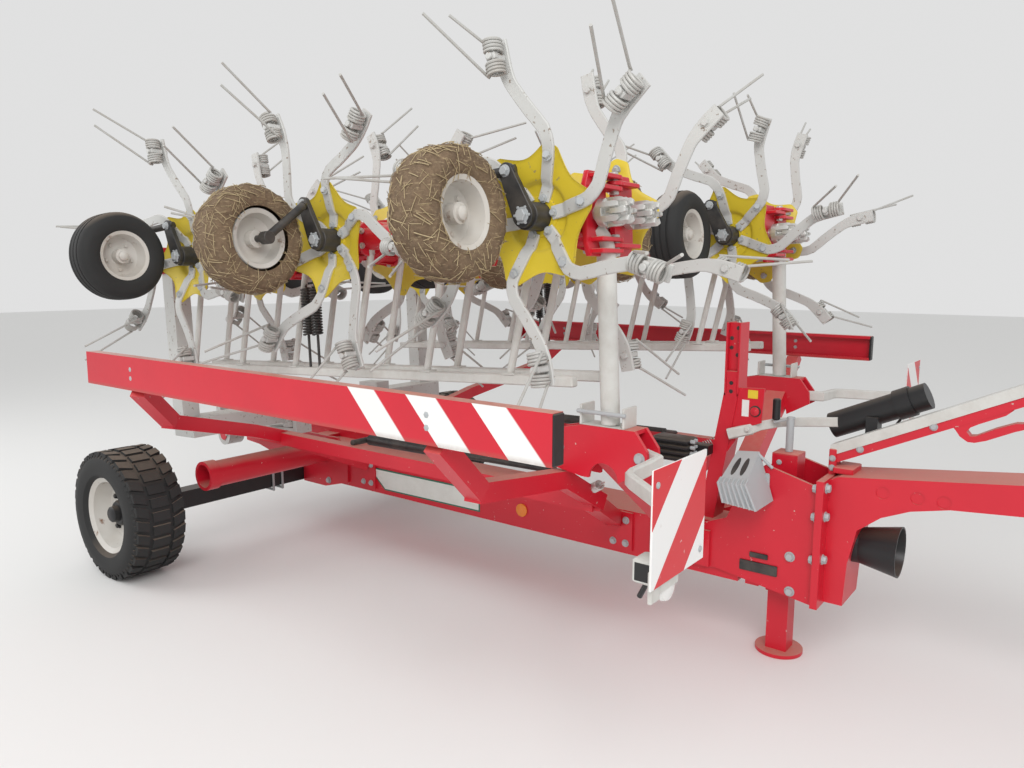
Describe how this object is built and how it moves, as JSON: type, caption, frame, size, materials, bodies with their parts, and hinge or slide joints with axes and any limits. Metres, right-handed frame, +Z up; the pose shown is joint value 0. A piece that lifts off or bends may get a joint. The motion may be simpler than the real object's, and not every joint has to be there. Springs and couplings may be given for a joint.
{
  "type": "trailed hay tedder",
  "caption": "Trailed multi-rotor hay tedder on its road chassis, wings folded, with tined star rotors, jack and striped side panels.",
  "frame": {"origin": "on the ground, below the middle of the overall length and width", "axes": "+X forward to the drawbar, +Y to the machine's left, +Z up"},
  "size_m": [5.6146, 3.0018, 2.2328],
  "materials": {
    "red_paint": "gloss",
    "yellow_paint": "satin",
    "grey_paint": "satin",
    "black_paint": "satin",
    "black_plastic": "matte",
    "galvanised": "satin",
    "board_white": "satin",
    "tyre_rubber": "matte"
  },
  "bodies": {
    "chassis": {"main_beam": "red_paint", "rear_bracket": "red_paint", "front_box": "red_paint", "drawbar": "red_paint", "hitch_eye": "black_paint", "gearbox_cover": "black_paint", "jack_tube": "red_paint", "axle_beam": "black_paint", "cross_tube_right": "red_paint", "cross_tube_left": "red_paint", "side_panel_right": "red_paint", "side_panel_left": "red_paint", "panel_carrier_right": "red_paint", "panel_carrier_left": "red_paint", "cradle_right": "red_paint", "cradle_left": "red_paint", "tower": "red_paint", "warning_board_right": "board_white", "warning_board_left": "board_white", "chocks": "galvanised", "link_arm": "red_paint", "document_tube": "black_plastic"},
    "jack": {"jack_leg": "red_paint"},
    "tilt": {"tilt_frame": "grey_paint"},
    "wing_right": {"wing_arm_right": "grey_paint", "toolbar_a": "red_paint", "toolbar_b": "red_paint"},
    "wing_left": {"wing_arm_left": "grey_paint", "toolbar_c": "red_paint", "toolbar_d": "red_paint"},
    "road_wheel_right": {"road_wheel_right": "tyre_rubber"},
    "road_wheel_left": {"road_wheel_left": "tyre_rubber"},
    "rotor_a1": {"rotor_a1": "yellow_paint"},
    "wheel_a1": {"wheel_a1": "tyre_rubber"},
    "rotor_a2": {"rotor_a2": "yellow_paint"},
    "wheel_a2": {"wheel_a2": "tyre_rubber"},
    "rotor_a3": {"rotor_a3": "yellow_paint"},
    "wheel_a3": {"wheel_a3": "tyre_rubber"},
    "rotor_b1": {"rotor_b1": "yellow_paint"},
    "wheel_b1": {"wheel_b1": "tyre_rubber"},
    "rotor_b2": {"rotor_b2": "yellow_paint"},
    "wheel_b2": {"wheel_b2": "tyre_rubber"},
    "rotor_b3": {"rotor_b3": "yellow_paint"},
    "wheel_b3": {"wheel_b3": "tyre_rubber"},
    "rotor_c1": {"rotor_c1": "yellow_paint"},
    "wheel_c1": {"wheel_c1": "tyre_rubber"},
    "rotor_c2": {"rotor_c2": "yellow_paint"},
    "wheel_c2": {"wheel_c2": "tyre_rubber"},
    "rotor_c3": {"rotor_c3": "yellow_paint"},
    "wheel_c3": {"wheel_c3": "tyre_rubber"},
    "rotor_d1": {"rotor_d1": "yellow_paint"},
    "wheel_d1": {"wheel_d1": "tyre_rubber"},
    "rotor_d2": {"rotor_d2": "yellow_paint"},
    "wheel_d2": {"wheel_d2": "tyre_rubber"},
    "rotor_d3": {"rotor_d3": "yellow_paint"},
    "wheel_d3": {"wheel_d3": "tyre_rubber"}
  },
  "joints": [
    {"name": "jack_slide", "type": "slide", "parent": "chassis", "child": "jack", "axis": [0, 0, 1], "range_m": [0, 0.22]},
    {"name": "tilt_lift", "type": "hinge", "parent": "chassis", "child": "tilt", "pos_m": [-2.74725, 0, 0.5], "axis": [0, -1, 0], "range_deg": [0, 87]},
    {"name": "wing_swing_right", "type": "hinge", "parent": "tilt", "child": "wing_right", "pos_m": [-2.12925, -0.3, 0.69761], "axis": [0.0523, 0, -0.9986], "range_deg": [0, 90]},
    {"name": "wing_swing_left", "type": "hinge", "parent": "tilt", "child": "wing_left", "pos_m": [-2.12925, 0.3, 0.69761], "axis": [-0.0523, 0, 0.9986], "range_deg": [0, 90]},
    {"name": "road_wheel_spin_right", "type": "hinge", "parent": "chassis", "child": "road_wheel_right", "pos_m": [-2.29475, -1.16, 0.313], "axis": [0, 1, 0], "continuous": true},
    {"name": "road_wheel_spin_left", "type": "hinge", "parent": "chassis", "child": "road_wheel_left", "pos_m": [-2.29475, 1.16, 0.313], "axis": [0, 1, 0], "continuous": true},
    {"name": "rotor_spin_a1", "type": "hinge", "parent": "wing_right", "child": "rotor_a1", "pos_m": [-0.00108, -0.98, 1.6483], "axis": [0, -1, 0], "continuous": true},
    {"name": "wheel_spin_a1", "type": "hinge", "parent": "wing_right", "child": "wheel_a1", "pos_m": [-0.11093, -1.235, 1.64254], "axis": [0.9986, 0, 0.0523], "continuous": true},
    {"name": "rotor_spin_a2", "type": "hinge", "parent": "wing_right", "child": "rotor_a2", "pos_m": [-0.98973, -0.98, 1.59648], "axis": [0, -1, 0], "continuous": true},
    {"name": "wheel_spin_a2", "type": "hinge", "parent": "wing_right", "child": "wheel_a2", "pos_m": [-1.09958, -1.235, 1.59073], "axis": [0.9986, 0, 0.0523], "continuous": true},
    {"name": "rotor_spin_a3", "type": "hinge", "parent": "wing_right", "child": "rotor_a3", "pos_m": [-1.97837, -0.98, 1.54467], "axis": [0, -1, 0], "continuous": true},
    {"name": "wheel_spin_a3", "type": "hinge", "parent": "wing_right", "child": "wheel_a3", "pos_m": [-2.08822, -1.235, 1.53892], "axis": [0.9986, 0, 0.0523], "continuous": true},
    {"name": "rotor_spin_b1", "type": "hinge", "parent": "wing_right", "child": "rotor_b1", "pos_m": [-0.00108, -0.55, 1.6483], "axis": [0, 1, 0], "continuous": true},
    {"name": "wheel_spin_b1", "type": "hinge", "parent": "wing_right", "child": "wheel_b1", "pos_m": [-0.11093, -0.295, 1.64254], "axis": [0.9986, 0, 0.0523], "continuous": true},
    {"name": "rotor_spin_b2", "type": "hinge", "parent": "wing_right", "child": "rotor_b2", "pos_m": [-0.98973, -0.55, 1.59648], "axis": [0, 1, 0], "continuous": true},
    {"name": "wheel_spin_b2", "type": "hinge", "parent": "wing_right", "child": "wheel_b2", "pos_m": [-1.09958, -0.295, 1.59073], "axis": [0.9986, 0, 0.0523], "continuous": true},
    {"name": "rotor_spin_b3", "type": "hinge", "parent": "wing_right", "child": "rotor_b3", "pos_m": [-1.97837, -0.55, 1.54467], "axis": [0, 1, 0], "continuous": true},
    {"name": "wheel_spin_b3", "type": "hinge", "parent": "wing_right", "child": "wheel_b3", "pos_m": [-2.08822, -0.295, 1.53892], "axis": [0.9986, 0, 0.0523], "continuous": true},
    {"name": "rotor_spin_c1", "type": "hinge", "parent": "wing_left", "child": "rotor_c1", "pos_m": [-0.00108, 0.55, 1.6483], "axis": [0, -1, 0], "continuous": true},
    {"name": "wheel_spin_c1", "type": "hinge", "parent": "wing_left", "child": "wheel_c1", "pos_m": [-0.11093, 0.295, 1.64254], "axis": [0.9986, 0, 0.0523], "continuous": true},
    {"name": "rotor_spin_c2", "type": "hinge", "parent": "wing_left", "child": "rotor_c2", "pos_m": [-0.98973, 0.55, 1.59648], "axis": [0, -1, 0], "continuous": true},
    {"name": "wheel_spin_c2", "type": "hinge", "parent": "wing_left", "child": "wheel_c2", "pos_m": [-1.09958, 0.295, 1.59073], "axis": [0.9986, 0, 0.0523], "continuous": true},
    {"name": "rotor_spin_c3", "type": "hinge", "parent": "wing_left", "child": "rotor_c3", "pos_m": [-1.97837, 0.55, 1.54467], "axis": [0, -1, 0], "continuous": true},
    {"name": "wheel_spin_c3", "type": "hinge", "parent": "wing_left", "child": "wheel_c3", "pos_m": [-2.08822, 0.295, 1.53892], "axis": [0.9986, 0, 0.0523], "continuous": true},
    {"name": "rotor_spin_d1", "type": "hinge", "parent": "wing_left", "child": "rotor_d1", "pos_m": [-0.00108, 0.98, 1.6483], "axis": [0, 1, 0], "continuous": true},
    {"name": "wheel_spin_d1", "type": "hinge", "parent": "wing_left", "child": "wheel_d1", "pos_m": [-0.11093, 1.235, 1.64254], "axis": [0.9986, 0, 0.0523], "continuous": true},
    {"name": "rotor_spin_d2", "type": "hinge", "parent": "wing_left", "child": "rotor_d2", "pos_m": [-0.98973, 0.98, 1.59648], "axis": [0, 1, 0], "continuous": true},
    {"name": "wheel_spin_d2", "type": "hinge", "parent": "wing_left", "child": "wheel_d2", "pos_m": [-1.09958, 1.235, 1.59073], "axis": [0.9986, 0, 0.0523], "continuous": true},
    {"name": "rotor_spin_d3", "type": "hinge", "parent": "wing_left", "child": "rotor_d3", "pos_m": [-1.97837, 0.98, 1.54467], "axis": [0, 1, 0], "continuous": true},
    {"name": "wheel_spin_d3", "type": "hinge", "parent": "wing_left", "child": "wheel_d3", "pos_m": [-2.08822, 1.235, 1.53892], "axis": [0.9986, 0, 0.0523], "continuous": true}
  ],
  "couplings": [
    {"joint": "wing_swing_right", "follows": "tilt_lift", "ratio": 1.0344},
    {"joint": "wing_swing_left", "follows": "tilt_lift", "ratio": 1.0344},
    {"joint": "rotor_spin_a2", "follows": "rotor_spin_a1", "ratio": -1},
    {"joint": "rotor_spin_a3", "follows": "rotor_spin_a1", "ratio": 1},
    {"joint": "rotor_spin_b1", "follows": "rotor_spin_a1", "ratio": -1},
    {"joint": "rotor_spin_b2", "follows": "rotor_spin_a1", "ratio": 1},
    {"joint": "rotor_spin_b3", "follows": "rotor_spin_a1", "ratio": -1},
    {"joint": "rotor_spin_c1", "follows": "rotor_spin_a1", "ratio": 1},
    {"joint": "rotor_spin_c2", "follows": "rotor_spin_a1", "ratio": -1},
    {"joint": "rotor_spin_c3", "follows": "rotor_spin_a1", "ratio": 1},
    {"joint": "rotor_spin_d1", "follows": "rotor_spin_a1", "ratio": -1},
    {"joint": "rotor_spin_d2", "follows": "rotor_spin_a1", "ratio": 1},
    {"joint": "rotor_spin_d3", "follows": "rotor_spin_a1", "ratio": -1}
  ]
}
